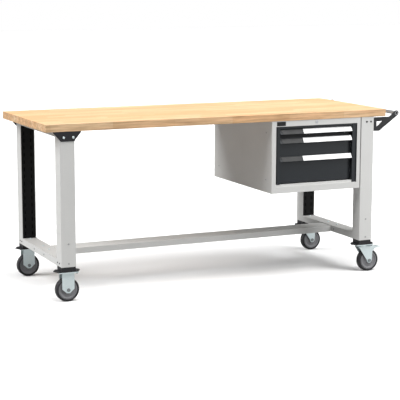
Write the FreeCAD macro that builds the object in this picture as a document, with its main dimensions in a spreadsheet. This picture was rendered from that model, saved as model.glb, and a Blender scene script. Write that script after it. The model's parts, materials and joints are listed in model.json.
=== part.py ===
import FreeCAD, Part
import os
import re
import Sketcher

# Workbench with a drawer cabinet on four casters, in millimetres.
# +X runs along the bench to its push handle, +Y to its back, +Z up.
# The origin is on the floor, under the middle of the overall box.

SIZES = {
    # worktop
    "top_length": 2000, "top_depth": 740, "top_thick": 40, "top_height": 925, "top_edge": 1.5,
    # middle of the worktop, set back from the origin because the push handle overhangs
    "mid": -45.5,
    # legs: folded channels, their closed faces to the front and the back
    "leg_x": 885, "leg_y": 329.5, "leg_width": 80, "leg_deep": 75, "leg_base": 185,
    "leg_wall": 2.5, "leg_fold": 2, "leg_hole": 2.25, "leg_hole_pitch": 50, "leg_hole_low": 22,
    "leg_hole_front": 22, "leg_hole_back": 24,
    # perforated channels inside the legs
    "insert_width": 74.6, "insert_deep": 55, "insert_wall": 2, "insert_base": 221, "insert_set": 4,
    "slot_width": 7, "slot_high": 22, "slot_pitch": 40, "slot_column": 20, "slot_low": 14,
    # crossbars and stretcher
    "bar_half": 291.8, "bar_high": 35, "bar_wall": 2.5, "high_bar_high": 32,
    "stretcher_half": 836, "stretcher_deep": 120, "stretcher_high": 33, "stretcher_wall": 2,
    "stretcher_fold": 1.5, "bracket_wall": 4, "bracket_length": 60, "bracket_deep": 100,
    "bracket_rise": 3,
    # gusset plates under the worktop
    "gusset_thick": 3, "gusset_top": 75, "gusset_low": 37, "gusset_high": 50, "gusset_wing": 42,
    "gusset_nick": 4, "gusset_skew": 2,
    # caster adapters
    "adapter_plate": 5, "adapter_tip": 72, "adapter_shoulder": 52, "adapter_slot": 58,
    "adapter_hole": 4, "adapter_inset": 2,
    # casters
    "caster_high": 158, "caster_y": 331, "wheel_radius": 62.5, "wheel_width": 38,
    "tyre_crown": 9, "tyre_shoulder": 4, "tyre_drop": 1,
    "core_radius": 51, "core_width": 32, "hub_radius": 16, "hub_proud": 2, "hub_foot": 19, "hub_step": 3,
    "web_radius": 37, "web_sunk": 5, "rim_radius": 46, "rim_sunk": 1,
    "axle_radius": 6, "axle_play": 0.05, "axle_head": 9, "axle_head_high": 5,
    "fork_gap": 44, "fork_wall": 3, "fork_width": 66, "fork_foot": 18, "fork_crown": 146,
    "fork_tail": 46, "fork_shoulder": 68, "plate_length": 104, "plate_width": 80, "plate_thick": 4,
    "plate_bolt_x": 44, "plate_bolt_y": 32, "plate_bolt_radius": 6, "plate_bolt_head": 5,
    "caster_trail": 37, "bearing_radius": 29, "king_radius": 6, "pin_play": 0.05,
    "king_bore_low": 5, "king_pin_low": 6, "race_play": 0.3,
    # swivelling fork: its crown about the king pin, its arms about the axle
    "crown_half": 30, "crown_wall": 4, "crown_lip": 6, "crown_tail": 20,
    "arm_front": 15, "arm_back": 16, "arm_rise": 2, "arm_neck": 13, "arm_neck_low": 8,
    "arm_toe": 6, "arm_toe_low": 14, "ear_in": 20, "ear_low": 32, "ear_out": 32, "ear_top": 22,
    # brake pedal, about its hinge
    "pedal_axis": 132, "pedal_offset": 60, "pedal_pin": 4, "pedal_pin_end": 2, "pedal_gap": 3,
    "pedal_root": 4, "pedal_half": 5, "pedal_back": 6, "pedal_bend": 38, "pedal_bend_low": 3,
    "pedal_bend_top": 7, "pedal_tip": 52, "pedal_tip_low": 2, "pedal_tip_top": 5,
    # drawer cabinet
    "case_left": 283.5, "case_width": 555.5, "case_front": 367, "case_back": 362, "case_base": 488,
    "case_wall": 2, "hole_left": 309, "hole_right": 818, "hole_low": 523, "hole_high": 854,
    "rim_deep": 20, "sill_high": 12.5, "sill_deep": 13, "sill_set": 7,
    "upright_width": 27, "upright_front": 362, "upright_back": 346, "groove_left": 9, "groove_right": 2,
    "groove_front": 352, "liner_set": 0.5, "header_high": 13, "header_front": 360, "header_deep": 8,
    "lock_x": 560, "lock_z": 872, "lock_radius": 9, "lock_play": 0.05, "lock_proud": 1.5,
    "lock_length": 18, "key_width": 2, "key_high": 9, "key_deep": 4.5,
    "name_x": 313, "name_z": 858, "name_length": 54, "name_high": 23, "name_thick": 1,
    # drawers: underside and top edge of each front, level of its slides, height of its tray
    "drawer_top_low": 790, "drawer_top_high": 840, "drawer_top_rail": 806, "drawer_top_deep": 38,
    "drawer_middle_low": 690, "drawer_middle_high": 790, "drawer_middle_rail": 715,
    "drawer_middle_deep": 78, "drawer_bottom_low": 540, "drawer_bottom_high": 690,
    "drawer_bottom_rail": 575, "drawer_bottom_deep": 122,
    "rail_top_high": 14, "rail_middle_high": 24, "rail_bottom_high": 24,
    "tray_front": 340, "tray_back": 300, "tray_wall": 1.5, "tray_rise": 3,
    "front_gap": 1, "front_face": 352, "front_deep": 12, "front_wall": 1.5,
    "front_step": 24, "front_step_deep": 10, "front_step_top": 9,
    "grip_out": 16, "grip_high": 27, "grip_wall": 2.5, "grip_drop": 3.5, "grip_root": 6, "grip_nose": 1,
    "latch_left": 343.5, "latch_right": 474, "latch_slant": 8.5, "latch_play": 0.4, "latch_thick": 2,
    "latch_edge": 2, "latch_cut": 5,
    "label_left": 480.5, "label_right": 786.5, "label_thick": 0.8, "label_edge": 0.8,
    "slide_front": 340, "slide_play": 0.3, "slide_bar": 5, "slide_set": 5, "slide_lip": 2,
    # push handle
    "handle_y": 360, "handle_thick": 4, "handle_x": 1076, "handle_z": 899, "handle_eye": 15,
    "handle_low": 803, "handle_top": 880, "handle_foot": 40, "handle_shoulder": 104, "flange_deep": 40,
    "window_left": 22, "window_right": 59, "window_low": 826, "window_top": 857,
    "tube_radius": 10, "tube_wall": 1.5, "tube_plug": 8, "tube_proud": 1,
    # share of the handle's eye radius, across and up, where the plate's sloping edges meet it
    "eye_across": 0.655, "eye_up": 0.755,
    # bolt heads on the frame: radius and height
    "web_bolt": 5, "web_bolt_head": 1.5, "bar_bolt": 5.5, "bar_bolt_head": 4,
    "flange_bolt": 4.5, "flange_bolt_head": 2, "gusset_bolt": 6.5, "gusset_bolt_head": 3.5,
    "top_bolt": 5, "top_bolt_head": 3,
    # places of the bolts: up from the legs' feet, down from the worktop, along the faces
    "web_bolt_low": 18, "web_bolt_high": 121, "bar_bolt_in": 50, "bar_bolt_end": 20,
    "flange_bolt_up": 17, "flange_bolt_in": 24, "flange_bolt_out": 6,
    "gusset_bolt_down": 30, "gusset_bolt_left": 19, "gusset_bolt_right": 32,
    "top_bolt_down": 27, "top_bolt_left": 5, "top_bolt_right": 21.5,
    # how far a cutting tool runs past the face that it cuts
    "past": 1, "far_past": 10,
}

DRAWERS = ["top", "middle", "bottom"]
SLOTS = 16
SIDES = [("left", -1), ("right", 1)]
ENDS = [("front", -1), ("rear", 1)]

doc = FreeCAD.newDocument("workbench")
sheet = doc.addObject("Spreadsheet::Sheet", "sizes")
for row, (alias, value) in enumerate(SIZES.items(), start=1):
    sheet.set("A%d" % row, alias)
    sheet.set("B%d" % row, str(value))
    sheet.setAlias("B%d" % row, alias)
doc.recompute()

NODES = []


# ---------- helpers ----------

def linked(formula):
    """Turn size names in a formula into references to the sheet."""
    def reference(match):
        word = match.group(0)
        return "sizes." + word if word in SIZES else word
    return re.sub(r"[a-z_]+", reference, str(formula))


def value_of(formula):
    """The number a formula gives with the sheet's present values."""
    total = doc.addObject("App::FeaturePython", "probe")
    total.addProperty("App::PropertyFloat", "value")
    total.setExpression("value", linked(formula))
    total.recompute()
    number = total.value
    doc.removeObject(total.Name)
    return number


def bind(item, **formulas):
    for field, formula in formulas.items():
        item.setExpression(field, linked(formula))


def place(item, x="0", y="0", z="0", turn=0):
    """Put an item at x, y, z, turned about +Z by so many degrees."""
    rotation = FreeCAD.Rotation(FreeCAD.Vector(0, 0, 1), turn)
    item.Placement = FreeCAD.Placement(FreeCAD.Vector(), rotation)
    for axis, formula in (("x", x), ("y", y), ("z", z)):
        item.setExpression("Placement.Base." + axis, linked(formula))


def node(item, label):
    item.Label = label
    NODES.append(item)
    return item


def box(name, x, y, z, length, width, height):
    """A block from its low corner and its three sizes."""
    item = doc.addObject("Part::Box", name)
    bind(item, Length=length, Width=width, Height=height)
    place(item, x, y, z)
    return item


def rod(name, axis, x, y, z, radius, length):
    """A cylinder that starts at x, y, z and runs along an axis."""
    item = doc.addObject("Part::Cylinder", name)
    bind(item, Radius=radius, Height=length)
    place(item, x, y, z)
    rotation = FreeCAD.Rotation(FreeCAD.Vector(0, 0, 1), axis)
    item.Placement = FreeCAD.Placement(item.Placement.Base, rotation)
    return item


def cut(name, base, tools):
    item = doc.addObject("Part::Cut", name)
    item.Base = base
    item.Tool = tools[0] if len(tools) == 1 else fuse(name + "_tools", tools)
    return item


def fuse(name, pieces):
    item = doc.addObject("Part::MultiFuse", name)
    item.Shapes = pieces
    item.Refine = True
    return item


def overlap(name, pieces):
    """The space that all of the pieces share."""
    item = doc.addObject("Part::MultiCommon", name)
    item.Shapes = pieces
    return item


def group(name, pieces):
    """Separate solids that share one node."""
    item = doc.addObject("Part::Compound", name)
    item.Links = pieces
    return item


def plane_of(body, role):
    return [face for face in body.Origin.OriginFeatures if face.Role == role][0]


def sketch_on(body, role, start):
    """An empty sketch on an origin plane, moved along the plane's normal by a formula."""
    sketch = body.newObject("Sketcher::SketchObject", body.Name + "_sketch")
    sketch.AttachmentSupport = (plane_of(body, role), [""])
    sketch.MapMode = "FlatFace"
    sketch.setExpression("AttachmentOffset.Base.z", linked(start))
    return sketch


def pin_point(sketch, geometry, end, u, v):
    """Hold one point of a sketch at the place that two formulas give."""
    for kind, formula in (("DistanceX", u), ("DistanceY", v)):
        number = sketch.addConstraint(Sketcher.Constraint(kind, -1, 1, geometry, end, value_of(formula)))
        sketch.setExpression("Constraints[%d]" % number, linked(formula))


def draw_outline(sketch, outline):
    """Draw a closed outline of straight lines through points given as formulas."""
    spots = [FreeCAD.Vector(value_of(u), value_of(v), 0) for u, v in outline]
    first = sketch.GeometryCount
    for index, spot in enumerate(spots):
        sketch.addGeometry(Part.LineSegment(spot, spots[(index + 1) % len(spots)]), False)
    for index in range(len(spots)):
        follower = first + (index + 1) % len(spots)
        sketch.addConstraint(Sketcher.Constraint("Coincident", first + index, 2, follower, 1))
    for index, (u, v) in enumerate(outline):
        pin_point(sketch, first + index, 1, u, v)


def draw_circle(sketch, u, v, radius):
    spot = FreeCAD.Vector(value_of(u), value_of(v), 0)
    number = sketch.addGeometry(Part.Circle(spot, FreeCAD.Vector(0, 0, 1), value_of(radius)), False)
    pin_point(sketch, number, 3, u, v)
    size = sketch.addConstraint(Sketcher.Constraint("Radius", number, value_of(radius)))
    sketch.setExpression("Constraints[%d]" % size, linked(radius))


def prism(name, role, start, length, outline, inner=(), circles=()):
    """A body padded from an outline on an origin plane, with openings left in it."""
    body = doc.addObject("PartDesign::Body", name)
    sketch = sketch_on(body, role, start)
    draw_outline(sketch, outline)
    for opening in inner:
        draw_outline(sketch, opening)
    for u, v, radius in circles:
        draw_circle(sketch, u, v, radius)
    pad = body.newObject("PartDesign::Pad", name + "_pad")
    pad.Profile = sketch
    bind(pad, Length=length)
    sketch.Visibility = False
    return body


def spun(name, outline):
    """A body revolved about its own Y axis from an outline in the XY plane."""
    body = doc.addObject("PartDesign::Body", name)
    sketch = sketch_on(body, "XY_Plane", "0")
    draw_outline(sketch, outline)
    turn = body.newObject("PartDesign::Revolution", name + "_turn")
    turn.Profile = sketch
    turn.ReferenceAxis = (sketch, ["V_Axis"])
    turn.Angle = 360
    return body


def hole_row(body, role, start, depth, first, pitch, count, across, radius):
    """Pocket a row of round holes up along Z through one wall of a body."""
    doc.recompute()
    before = body.Shape.Volume
    sketch = sketch_on(body, role, start)
    draw_circle(sketch, across, first, radius)
    pocket = body.newObject("PartDesign::Pocket", body.Name + "_pocket")
    pocket.Profile = sketch
    bind(pocket, Length=depth)
    pocket.Midplane = True
    doc.recompute()
    row = body.newObject("PartDesign::LinearPattern", body.Name + "_row")
    row.Originals = [pocket]
    row.Direction = (sketch, ["V_Axis"])
    row.Occurrences = count
    bind(row, Length="%s * %d" % (pitch, count - 1))
    body.Tip = row
    doc.recompute()
    if body.Shape.Volume >= before:
        raise RuntimeError(body.Name + ": the holes cut nothing")


def edges_at(shape, direction, spots):
    """Names of the edges along a direction that pass through one of the spots."""
    names = []
    for number, edge in enumerate(shape.Edges, start=1):
        if edge.Curve.TypeId != "Part::GeomLine":
            continue
        if abs(edge.Curve.Direction.dot(direction)) < 0.999:
            continue
        if any(edge.Curve.toShape().distToShape(Part.Vertex(spot))[0] < 0.01 for spot in spots):
            names.append("Edge%d" % number)
    return names


def bend(body, direction, spots, radius):
    """Round the folds of a sheet body."""
    doc.recompute()
    tip = body.Tip
    fillet = body.newObject("PartDesign::Fillet", body.Name + "_folds")
    fillet.Base = (tip, edges_at(tip.Shape, direction, spots))
    bind(fillet, Radius=radius)
    doc.recompute()


UP = FreeCAD.Vector(0, 0, 1)
BACK = FreeCAD.Vector(0, 1, 0)
ALONG = FreeCAD.Vector(1, 0, 0)


# ---------- worktop ----------

def make_worktop():
    outline = [
        ("mid - top_length / 2", "-top_depth / 2"),
        ("mid + top_length / 2", "-top_depth / 2"),
        ("mid + top_length / 2", "top_depth / 2"),
        ("mid - top_length / 2", "top_depth / 2"),
    ]
    body = prism("worktop", "XY_Plane", "top_height - top_thick", "top_thick", outline)
    doc.recompute()
    edges = body.newObject("PartDesign::Chamfer", "worktop_edges")
    pad = body.Group[1]
    edges.Base = (pad, ["Edge%d" % (number + 1) for number in range(len(pad.Shape.Edges))])
    bind(edges, Size="top_edge")
    node(body, "worktop")


# ---------- frame ----------

def channel_outline(width, deep, wall):
    """Cross-section of a channel, its closed side at -Y, centred on the origin."""
    half = "%s / 2" % width
    reach = "%s / 2" % deep
    return [
        ("-" + half, "-" + reach),
        (half, "-" + reach),
        (half, reach),
        ("%s - %s" % (half, wall), reach),
        ("%s - %s" % (half, wall), "-%s + %s" % (reach, wall)),
        ("-%s + %s" % (half, wall), "-%s + %s" % (reach, wall)),
        ("-%s + %s" % (half, wall), reach),
        ("-" + half, reach),
    ]


def make_leg(label, side, end):
    outline = channel_outline("leg_width", "leg_deep", "leg_wall")
    leg = prism(label, "XY_Plane", "leg_base", "top_height - top_thick - leg_base", outline)
    corners = [FreeCAD.Vector(sign * value_of("leg_width / 2"), value_of("-leg_deep / 2"), 0)
               for sign in (-1, 1)]
    bend(leg, UP, corners, "leg_fold")
    holes = (("leg_deep / 2 - leg_hole_front", 14), ("-leg_deep / 2 + leg_hole_back", 13))
    for across, count in holes:
        hole_row(leg, "YZ_Plane", "0", "leg_width + 2 * past", "leg_base + leg_hole_low", "leg_hole_pitch",
                 count, across, "leg_hole")
    place(leg, "mid + %d * leg_x" % side, "%d * leg_y" % end, "0", 0 if end < 0 else 180)
    node(leg, label)


def make_insert(label, side, end):
    """Perforated channel in a leg, its face towards the leg's open side."""
    outline = channel_outline("insert_width", "insert_deep", "insert_wall")
    length = "top_height - top_thick - insert_base"
    body = prism(label, "XY_Plane", "insert_base", length, outline)
    for column in (-1, 1):
        doc.recompute()
        before = body.Shape.Volume
        sketch = sketch_on(body, "XZ_Plane", "insert_deep / 2")
        middle = "%d * slot_column" % column
        low = "insert_base + slot_low"
        draw_outline(sketch, [
            (middle + " - slot_width / 2", low),
            (middle + " + slot_width / 2", low),
            (middle + " + slot_width / 2", low + " + slot_high"),
            (middle + " - slot_width / 2", low + " + slot_high"),
        ])
        pocket = body.newObject("PartDesign::Pocket", label + "_slot")
        pocket.Profile = sketch
        bind(pocket, Length="insert_wall * 3")
        pocket.Midplane = True
        doc.recompute()
        row = body.newObject("PartDesign::LinearPattern", label + "_slots")
        row.Originals = [pocket]
        row.Direction = (sketch, ["V_Axis"])
        row.Occurrences = SLOTS
        bind(row, Length="slot_pitch * %d" % (SLOTS - 1))
        body.Tip = row
        doc.recompute()
        if body.Shape.Volume >= before:
            raise RuntimeError(label + ": the slots cut nothing")
    lean = "leg_deep / 2 - insert_deep / 2 - insert_set"
    place(body, "mid + %d * leg_x" % side, "%d * (leg_y - (%s))" % (end, lean), "0", 180 if end < 0 else 0)
    return body


def make_crossbar(name, side, top, high):
    """Inverted channel between a front and a rear leg."""
    middle = "mid + %d * leg_x" % side
    half = "leg_width / 2"
    outline = [
        ("%s - %s" % (middle, half), "%s - %s" % (top, high)),
        ("%s - %s" % (middle, half), top),
        ("%s + %s" % (middle, half), top),
        ("%s + %s" % (middle, half), "%s - %s" % (top, high)),
        ("%s + %s - bar_wall" % (middle, half), "%s - %s" % (top, high)),
        ("%s + %s - bar_wall" % (middle, half), "%s - bar_wall" % top),
        ("%s - %s + bar_wall" % (middle, half), "%s - bar_wall" % top),
        ("%s - %s + bar_wall" % (middle, half), "%s - %s" % (top, high)),
    ]
    return prism(name, "XZ_Plane", "-bar_half", "bar_half * 2", outline)


def make_stretcher():
    half = "stretcher_deep / 2"
    low = "leg_base"
    top = "leg_base + stretcher_high"
    outline = [
        ("-" + half, low), ("-" + half, top), (half, top), (half, low),
        (half + " - stretcher_wall", low),
        (half + " - stretcher_wall", top + " - stretcher_wall"),
        ("-%s + stretcher_wall" % half, top + " - stretcher_wall"),
        ("-%s + stretcher_wall" % half, low),
    ]
    body = prism("stretcher", "YZ_Plane", "mid - stretcher_half", "stretcher_half * 2", outline)
    corners = [FreeCAD.Vector(0, sign * value_of(half), value_of(top)) for sign in (-1, 1)]
    bend(body, ALONG, corners, "stretcher_fold")
    node(body, "stretcher")


def make_stretcher_brackets():
    """Angle brackets that join the stretcher to the crossbars."""
    pieces = []
    for name, side in SIDES:
        face = "mid + %d * (leg_x - leg_width / 2)" % side
        low_x = face if side < 0 else face + " - bracket_length"
        flange_x = face if side < 0 else face + " - bracket_wall"
        under = "stretcher_high - stretcher_wall - bracket_wall"
        tongue = box("tongue_" + name, low_x, "-bracket_deep / 2", "leg_base + " + under,
                     "bracket_length", "bracket_deep", "bracket_wall")
        flange = box("flange_" + name, flange_x, "-bracket_deep / 2", "leg_base + bracket_rise",
                     "bracket_wall", "bracket_deep", under + " + bracket_wall / 2 - bracket_rise")
        pieces.append(fuse("stretcher_bracket_" + name, [tongue, flange]))
    node(group("stretcher_brackets", pieces), "stretcher_brackets")


def make_gussets():
    """Trapezoid plates that tie the top of the left legs to the worktop."""
    pieces = []
    for name, end in ENDS:
        middle = "mid - leg_x"
        top = "top_height - top_thick"
        outline = [
            (middle + " - gusset_top", top),
            (middle + " - gusset_top", top + " - gusset_nick"),
            (middle + " - gusset_low - gusset_nick", top + " - gusset_wing"),
            (middle + " - gusset_low + gusset_nick", top + " - gusset_high"),
            (middle + " + gusset_low + gusset_skew", top + " - gusset_high"),
            (middle + " + gusset_low + gusset_skew + gusset_nick", top + " - gusset_wing"),
            (middle + " + gusset_top", top + " - gusset_nick"),
            (middle + " + gusset_top", top),
        ]
        start = "leg_y + leg_deep / 2" if end < 0 else "-(leg_y + leg_deep / 2 + gusset_thick)"
        pieces.append(prism("gusset_" + name, "XZ_Plane", start, "gusset_thick", outline))
    node(group("top_gussets", pieces), "top_gussets")


# ---------- bolts ----------

def bolt(kind, tag, axis, x, y, z):
    """A round bolt head of one kind, standing on a face."""
    return rod("%s_%s" % (kind, tag), axis, x, y, z, kind, kind + "_head")


def make_frame_bolts():
    """Bolt heads on the legs' webs and flanges, the crossbars, the gussets and the handle's leg."""
    heads = []
    for side_name, side in SIDES:
        middle = "mid + %d * leg_x" % side
        outer = "mid + %d * (leg_x + leg_width / 2)" % side
        for end_name, end in ENDS:
            tag = "%s_%s" % (end_name, side_name)
            face = "%d * (leg_y + leg_deep / 2)" % end
            for index, z in enumerate(("web_bolt_low", "web_bolt_high")):
                heads.append(bolt("web_bolt", "%s_%d" % (tag, index), BACK * end, middle, face,
                                  "leg_base + " + z))
            for index, y in enumerate(("bar_bolt_in", "bar_half - bar_bolt_end")):
                heads.append(bolt("bar_bolt", "%s_%d" % (tag, index), UP, middle, "%d * (%s)" % (end, y),
                                  "leg_base + bar_high"))
            for index, y in enumerate(("leg_y - flange_bolt_in", "leg_y + flange_bolt_out")):
                heads.append(bolt("flange_bolt", "%s_%d" % (tag, index), ALONG * side, outer,
                                  "%d * (%s)" % (end, y), "leg_base + flange_bolt_up"))
    for end_name, end in ENDS:
        face = "%d * (leg_y + leg_deep / 2 + gusset_thick)" % end
        for index, x in enumerate(("- gusset_bolt_left", "+ gusset_bolt_right")):
            heads.append(bolt("gusset_bolt", "%s_%d" % (end_name, index), BACK * end,
                              "mid - leg_x " + x, face, "top_height - top_thick - gusset_bolt_down"))
    for index, x in enumerate(("- top_bolt_left", "+ top_bolt_right")):
        heads.append(bolt("top_bolt", str(index), BACK * -1, "mid + leg_x " + x,
                          "-(leg_y + leg_deep / 2)", "top_height - top_thick - top_bolt_down"))
    node(group("frame_bolts", heads), "frame_bolts")


# ---------- casters ----------

def make_adapters():
    """Caps between the leg feet and the caster plates, with a pointed wing each side."""
    pieces = []
    for side_name, side in SIDES:
        for end_name, end in ENDS:
            tag = "%s_%s" % (end_name, side_name)
            half = "leg_width / 2"
            reach = "leg_deep / 2 - adapter_inset"
            right = [("adapter_tip", "0"), ("adapter_shoulder", reach), (half, "leg_deep / 2")]
            left = [("-" + u, v) for u, v in reversed(right[1:])] + [("-adapter_tip", "0")]
            upper = right + left
            lower = [(u, "-(%s)" % v) for u, v in reversed(upper[1:-1])]
            plate = prism("adapter_plate_" + tag, "XY_Plane", "caster_high", "adapter_plate",
                          upper + lower, circles=[("-adapter_slot", "0", "adapter_hole"),
                                                  ("adapter_slot", "0", "adapter_hole")])
            riser = "leg_base - caster_high - adapter_plate"
            cap = box("adapter_cap_" + tag, "-%s + adapter_inset" % half, "-(%s)" % reach,
                      "caster_high + adapter_plate", "leg_width - 2 * adapter_inset",
                      "leg_deep - 2 * adapter_inset", riser)
            piece = fuse("adapter_" + tag, [plate, cap])
            place(piece, "mid + %d * leg_x" % side, "%d * leg_y" % end)
            pieces.append(piece)
    node(group("caster_adapters", pieces), "caster_adapters")


def caster_centre(side):
    trail = " + caster_trail" if side > 0 else ""
    return "mid + %d * leg_x%s" % (side, trail)


def make_wheel(tag, side, end):
    """Tyre and core, revolved about the axle's line."""
    half = "wheel_width / 2"
    tyre = spun("tyre_" + tag, [
        ("core_radius", "-core_width / 2"),
        ("wheel_radius - tyre_crown", "-" + half),
        ("wheel_radius - tyre_shoulder", "-%s + tyre_drop" % half),
        ("wheel_radius - tyre_drop", "-%s + tyre_shoulder" % half),
        ("wheel_radius", "-%s + tyre_crown" % half),
        ("wheel_radius", half + " - tyre_crown"),
        ("wheel_radius - tyre_drop", half + " - tyre_shoulder"),
        ("wheel_radius - tyre_shoulder", half + " - tyre_drop"),
        ("wheel_radius - tyre_crown", half),
        ("core_radius", "core_width / 2"),
    ])
    bore = "axle_radius + axle_play"
    right = [
        (bore, half + " + hub_proud"), ("hub_radius", half + " + hub_proud"),
        ("hub_foot", half + " - hub_step"), ("web_radius", half + " - web_sunk"),
        ("rim_radius", half + " - rim_sunk"), ("core_radius", "core_width / 2"),
    ]
    core = spun("wheel_core_" + tag, [(u, "-(%s)" % v) for u, v in right] + list(reversed(right)))
    for piece in (tyre, core):
        place(piece, caster_centre(side), "%d * caster_y" % end, "wheel_radius")
        node(piece, piece.Name)


def axle_piece(tag, x, y):
    """Axle bolt through a fork: shank, head and nut in one."""
    reach = "fork_gap / 2 + fork_wall"
    shank = rod("shank_" + tag, BACK, x, "%s - (%s)" % (y, reach), "wheel_radius", "axle_radius",
                "2 * (%s)" % reach)
    ends = []
    for end_name, end in ENDS:
        ends.append(rod("axle_%s_%s" % (end_name, tag), BACK * end, x, "%s + %d * (%s)" % (y, end, reach),
                        "wheel_radius", "axle_head", "axle_head_high"))
    return fuse("axle_piece_" + tag, [shank] + ends)


def make_fixed_caster(tag, end):
    """Fork of a fixed caster: top plate and two flat cheeks with cut corners."""
    x = caster_centre(-1)
    y = "%d * caster_y" % end
    half = "fork_width / 2"
    cheek = [
        (x + " - " + half, "caster_high - plate_thick"), (x + " - " + half, "fork_shoulder"),
        (x + " - fork_foot / 2", "fork_tail"), (x + " + fork_foot / 2", "fork_tail"),
        (x + " + " + half, "fork_shoulder"), (x + " + " + half, "caster_high - plate_thick"),
    ]
    pieces = []
    starts = {"a": "-(%s) - fork_gap / 2 - fork_wall" % y, "b": "-(%s) + fork_gap / 2" % y}
    for side_name, start in starts.items():
        pieces.append(prism("cheek_%s_%s" % (side_name, tag), "XZ_Plane", start, "fork_wall", cheek,
                            circles=[(x, "wheel_radius", "axle_radius")]))
    pieces.append(box("fork_plate_" + tag, x + " - plate_length / 2", y + " - plate_width / 2",
                      "caster_high - plate_thick", "plate_length", "plate_width", "plate_thick"))
    node(fuse("fork_" + tag, pieces), "fork_" + tag)


def make_swivel_caster(tag, end):
    """Swivelling fork with its wheel behind the king pin, and its brake pedal."""
    pin = "mid + leg_x"
    x = caster_centre(1)
    y = "%d * caster_y" % end
    gap = "fork_gap / 2"
    cheek = [
        (pin + " - crown_half", "fork_crown"), (pin + " - crown_half", "fork_crown - crown_lip"),
        (x + " - arm_front", "wheel_radius + arm_rise"), (x + " - arm_neck", "wheel_radius - arm_neck_low"),
        (x + " - arm_toe", "wheel_radius - arm_toe_low"), (x + " + arm_toe", "wheel_radius - arm_toe_low"),
        (x + " + arm_neck", "wheel_radius - arm_neck_low"), (x + " + arm_back", "wheel_radius + arm_rise"),
        (x + " + ear_in", "fork_crown - ear_low"), (x + " + ear_out", "fork_crown - ear_top"),
        (x + " + ear_out", "fork_crown"),
    ]
    hinge = "%s + pedal_offset" % pin
    pieces = []
    starts = {"a": "-(%s) - %s - fork_wall" % (y, gap), "b": "-(%s) + %s" % (y, gap)}
    for side_name, start in starts.items():
        pieces.append(prism("cheek_%s_%s" % (side_name, tag), "XZ_Plane", start, "fork_wall", cheek,
                            circles=[(x, "wheel_radius", "axle_radius"),
                                     (hinge, "pedal_axis", "pedal_pin + pin_play")]))
    pieces.append(box("crown_" + tag, pin + " - crown_half", "%s - %s - fork_wall" % (y, gap),
                      "fork_crown - crown_wall", "crown_half + caster_trail + crown_tail",
                      "fork_gap + 2 * fork_wall", "crown_wall"))
    pieces.append(rod("race_" + tag, UP, pin, y, "fork_crown", "bearing_radius",
                      "caster_high - plate_thick - race_play - fork_crown"))
    bore = rod("king_bore_" + tag, UP, pin, y, "fork_crown - king_bore_low",
               "king_radius + pin_play", "king_bore_low + caster_high - fork_crown")
    node(cut("swivel_fork_" + tag, fuse("swivel_fork_blank_" + tag, pieces), [bore]), "swivel_fork_" + tag)
    node(axle_piece(tag, x, y), "swivel_axle_" + tag)
    lever = [
        (hinge + " - pedal_root", "pedal_axis - pedal_half"),
        (hinge + " + pedal_root", "pedal_axis - pedal_half"),
        (hinge + " + pedal_bend", "pedal_axis + pedal_bend_low"),
        (hinge + " + pedal_tip", "pedal_axis + pedal_tip_low"),
        (hinge + " + pedal_tip", "pedal_axis + pedal_tip_top"),
        (hinge + " + pedal_bend", "pedal_axis + pedal_bend_top"),
        (hinge + " + pedal_root", "pedal_axis + pedal_back"),
        (hinge + " - pedal_root", "pedal_axis + pedal_half"),
    ]
    blade = prism("pedal_blade_" + tag, "XZ_Plane", "-(%s) - %s + pedal_gap" % (y, gap),
                  "fork_gap - 2 * pedal_gap", lever)
    pivot = rod("pedal_pivot_" + tag, BACK, hinge,
                "%s - %s - fork_wall - pedal_pin_end" % (y, gap), "pedal_axis", "pedal_pin",
                "fork_gap + 2 * fork_wall + 2 * pedal_pin_end")
    node(fuse("pedal_" + tag, [blade, pivot]), "brake_pedal_" + tag)


def make_swivel_plates():
    pieces = []
    for end_name, end in ENDS:
        plate = box("swivel_plate_" + end_name, "mid + leg_x - plate_length / 2",
                    "%d * caster_y - plate_width / 2" % end, "caster_high - plate_thick",
                    "plate_length", "plate_width", "plate_thick")
        pin = rod("king_pin_" + end_name, UP, "mid + leg_x", "%d * caster_y" % end,
                  "fork_crown - king_pin_low", "king_radius",
                  "caster_high - plate_thick - fork_crown + king_pin_low")
        pieces.append(fuse("swivel_top_" + end_name, [plate, pin]))
    node(group("swivel_plates", pieces), "swivel_plates")


def make_caster_bolts():
    """Nuts under the caster plates, four to a plate."""
    heads = []
    for side_name, side in SIDES:
        for end_name, end in ENDS:
            for along in (-1, 1):
                for across in (-1, 1):
                    name = "plate_bolt_%s_%s_%d_%d" % (side_name, end_name, along + 1, across + 1)
                    heads.append(rod(name, UP, "mid + %d * leg_x + %d * plate_bolt_x" % (side, along),
                                     "%d * caster_y + %d * plate_bolt_y" % (end, across),
                                     "caster_high - plate_thick - plate_bolt_head",
                                     "plate_bolt_radius", "plate_bolt_head"))
    node(group("caster_bolts", heads), "caster_bolts")


# ---------- drawer cabinet ----------

def make_case():
    outer = box("case_outer", "mid + case_left", "-case_front + case_wall", "case_base",
                "case_width", "case_front + case_back - case_wall", "top_height - top_thick - case_base")
    inner = box("case_inner", "mid + case_left + case_wall", "-case_front - far_past",
                "case_base + case_wall", "case_width - 2 * case_wall",
                "case_front + case_back + far_past - case_wall",
                "top_height - top_thick - case_base - 2 * case_wall")
    node(cut("case_shell", outer, [inner]), "cabinet_shell")


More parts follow.
